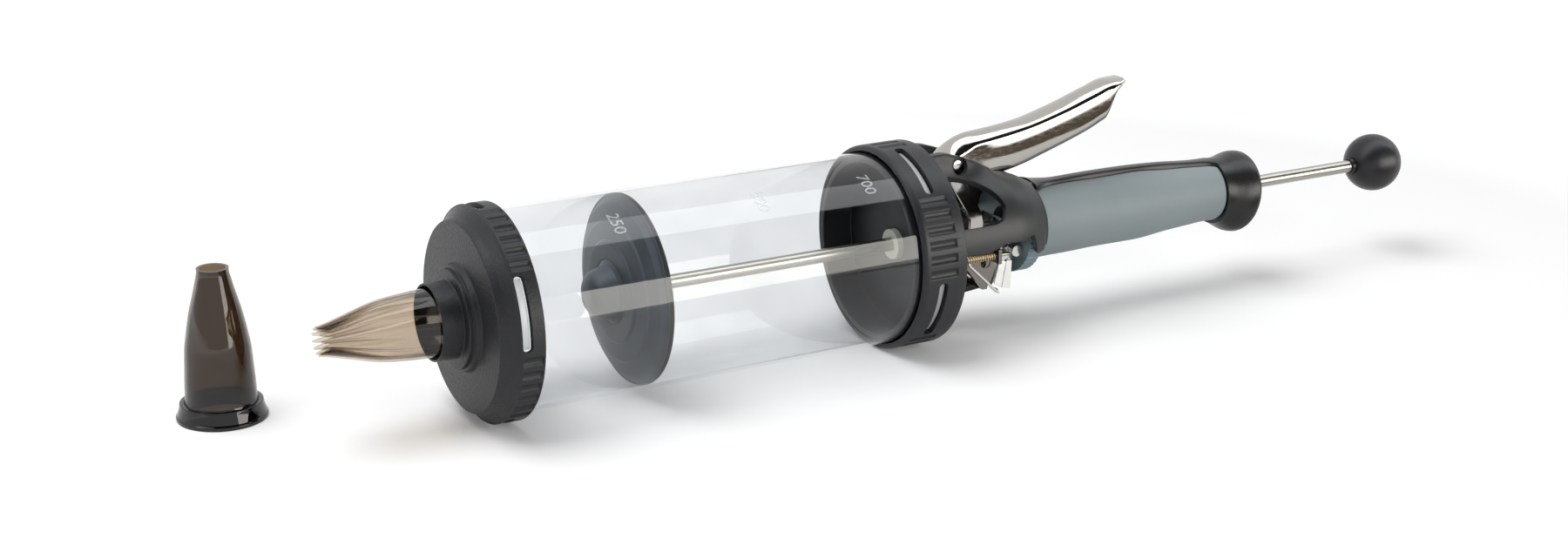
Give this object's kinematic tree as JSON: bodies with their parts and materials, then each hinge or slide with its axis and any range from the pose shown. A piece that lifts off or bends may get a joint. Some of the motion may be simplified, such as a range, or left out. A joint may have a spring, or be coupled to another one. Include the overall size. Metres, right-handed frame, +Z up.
{
  "type": "pastry syringe",
  "caption": "Hand pastry syringe: clear barrel between bayonet caps, plunger on a long rod, squeeze lever over a grip, fluted nozzle, and a plain spare nozzle standing beside it.",
  "frame": {"origin": "on the barrel's axis, at the rear edge of the front cap's grip ring", "axes": "+X along the barrel's axis from the nozzle towards the ball knob, +Z up, lever on top"},
  "size_m": [0.5383, 0.1079, 0.0962],
  "materials": {
    "clear_plastic": "clear polished",
    "smoke_plastic": "clear smoke brown, polished",
    "charcoal_plastic": "fine moulded texture",
    "black_plastic": "satin",
    "slate_plastic": "satin",
    "grip_rubber": "soft matt",
    "seal_rubber": "matt",
    "wheel_plastic": "satin",
    "polished_steel": "polished",
    "rod_steel": "fine brushed",
    "spring_brass": "bright",
    "bush_plastic": "smooth"
  },
  "bodies": {
    "handle": {"rear_cap": "charcoal_plastic", "rear_gasket": "seal_rubber", "cage": "charcoal_plastic", "front_bush": "bush_plastic", "rear_bush": "bush_plastic", "lever_pivot_pin": "polished_steel", "return_spring": "spring_brass", "spring_guide_pin": "rod_steel", "release_pivot_pin": "polished_steel", "handle_core": "black_plastic", "grip_sleeve": "grip_rubber", "pommel": "black_plastic"},
    "barrel": {"tube": "clear_plastic"},
    "nozzle_cap": {"front_cap": "charcoal_plastic", "front_gasket": "seal_rubber", "star_nozzle": "smoke_plastic"},
    "plunger": {"piston_disc": "slate_plastic", "piston_seal": "seal_rubber", "piston_washer": "polished_steel", "piston_nut": "polished_steel", "rod": "rod_steel", "knob_collar": "black_plastic", "ball_knob": "black_plastic"},
    "squeeze_lever": {"lever": "polished_steel"},
    "carrier": {"drive_carrier": "polished_steel", "drive_plate": "polished_steel", "carrier_rivets": "polished_steel"},
    "release": {"release_plate": "polished_steel"},
    "wheel": {"dose_wheel": "wheel_plastic"},
    "spare": {"spare_nozzle": "smoke_plastic"}
  },
  "joints": [
    {"name": "barrel_twist", "type": "hinge", "parent": "handle", "child": "barrel", "pos_m": [0.16, 0, 0], "axis": [1, 0, 0], "range_deg": [0, 45]},
    {"name": "cap_twist", "type": "hinge", "parent": "barrel", "child": "nozzle_cap", "pos_m": [0, 0, 0], "axis": [-1, 0, 0], "range_deg": [0, 45]},
    {"name": "plunger_slide", "type": "slide", "parent": "handle", "child": "plunger", "axis": [1, 0, 0], "range_m": [-0.053, 0.1025]},
    {"name": "lever_squeeze", "type": "hinge", "parent": "handle", "child": "squeeze_lever", "pos_m": [0.19285, 0, 0.031], "axis": [0, 1, 0], "range_deg": [0, 13], "stiffness_Nm_per_rad": 0.15, "springref_deg": -14.32},
    {"name": "carrier_slide", "type": "slide", "parent": "handle", "child": "carrier", "axis": [-1, 0, 0], "range_m": [0, 0.0067], "deforming": ["return_spring"]},
    {"name": "release_pull", "type": "hinge", "parent": "handle", "child": "release", "pos_m": [0.21905, 0, -0.007], "axis": [0, -1, 0], "range_deg": [0, 8], "stiffness_Nm_per_rad": 0.02, "springref_deg": -17.19},
    {"name": "wheel_turn", "type": "hinge", "parent": "handle", "child": "wheel", "pos_m": [0.225, 0, 0], "axis": [1, 0, 0], "continuous": true},
    {"name": "spare_lift", "type": "slide", "parent": "handle", "child": "spare", "axis": [0, 0, 1], "range_m": [0, 0.08]}
  ],
  "couplings": [
    {"joint": "carrier_slide", "follows": "lever_squeeze", "m_per_rad": 0.0295}
  ]
}
